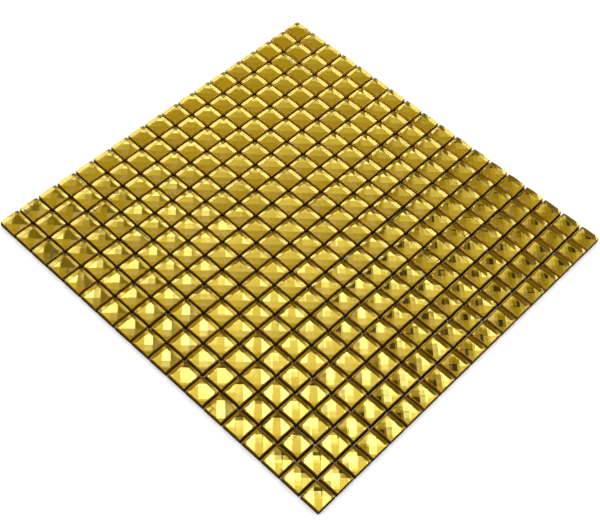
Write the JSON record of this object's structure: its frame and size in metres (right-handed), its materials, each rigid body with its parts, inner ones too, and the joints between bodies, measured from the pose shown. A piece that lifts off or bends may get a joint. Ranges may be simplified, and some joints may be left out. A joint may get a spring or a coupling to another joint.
{
  "type": "mosaic tile sheet",
  "caption": "Square sheet of small faceted gold mirror-glass chips, held in a regular grid with open joints by a square-meshed backing net.",
  "frame": {"origin": "centre of the sheet's back, on the plane where the net meets the wall", "axes": "+Z out of the wall through the chips, +X and +Y along the rows of chips"},
  "size_m": [0.2996, 0.2996, 0.0058],
  "materials": {
    "mirror_glass": "clear polished glass with ground facets over a gold mirror back",
    "net_fibre": "coated white fibre net"
  },
  "bodies": {
    "root": {"glass_chip_row_01": "mirror_glass", "glass_chip_row_02": "mirror_glass", "glass_chip_row_03": "mirror_glass", "glass_chip_row_04": "mirror_glass", "glass_chip_row_05": "mirror_glass", "glass_chip_row_06": "mirror_glass", "glass_chip_row_07": "mirror_glass", "glass_chip_row_08": "mirror_glass", "glass_chip_row_09": "mirror_glass", "glass_chip_row_10": "mirror_glass", "glass_chip_row_11": "mirror_glass", "glass_chip_row_12": "mirror_glass", "glass_chip_row_13": "mirror_glass", "glass_chip_row_14": "mirror_glass", "glass_chip_row_15": "mirror_glass", "glass_chip_row_16": "mirror_glass", "glass_chip_row_17": "mirror_glass", "glass_chip_row_18": "mirror_glass", "backing_net_1_1": "net_fibre", "backing_net_1_2": "net_fibre", "backing_net_1_3": "net_fibre", "backing_net_1_4": "net_fibre", "backing_net_1_5": "net_fibre", "backing_net_2_1": "net_fibre", "backing_net_2_2": "net_fibre", "backing_net_2_3": "net_fibre", "backing_net_2_4": "net_fibre", "backing_net_2_5": "net_fibre", "backing_net_3_1": "net_fibre", "backing_net_3_2": "net_fibre", "backing_net_3_3": "net_fibre", "backing_net_3_4": "net_fibre", "backing_net_3_5": "net_fibre", "backing_net_4_1": "net_fibre", "backing_net_4_2": "net_fibre", "backing_net_4_3": "net_fibre", "backing_net_4_4": "net_fibre", "backing_net_4_5": "net_fibre", "backing_net_5_1": "net_fibre", "backing_net_5_2": "net_fibre", "backing_net_5_3": "net_fibre", "backing_net_5_4": "net_fibre", "backing_net_5_5": "net_fibre"}
  },
  "joints": []
}
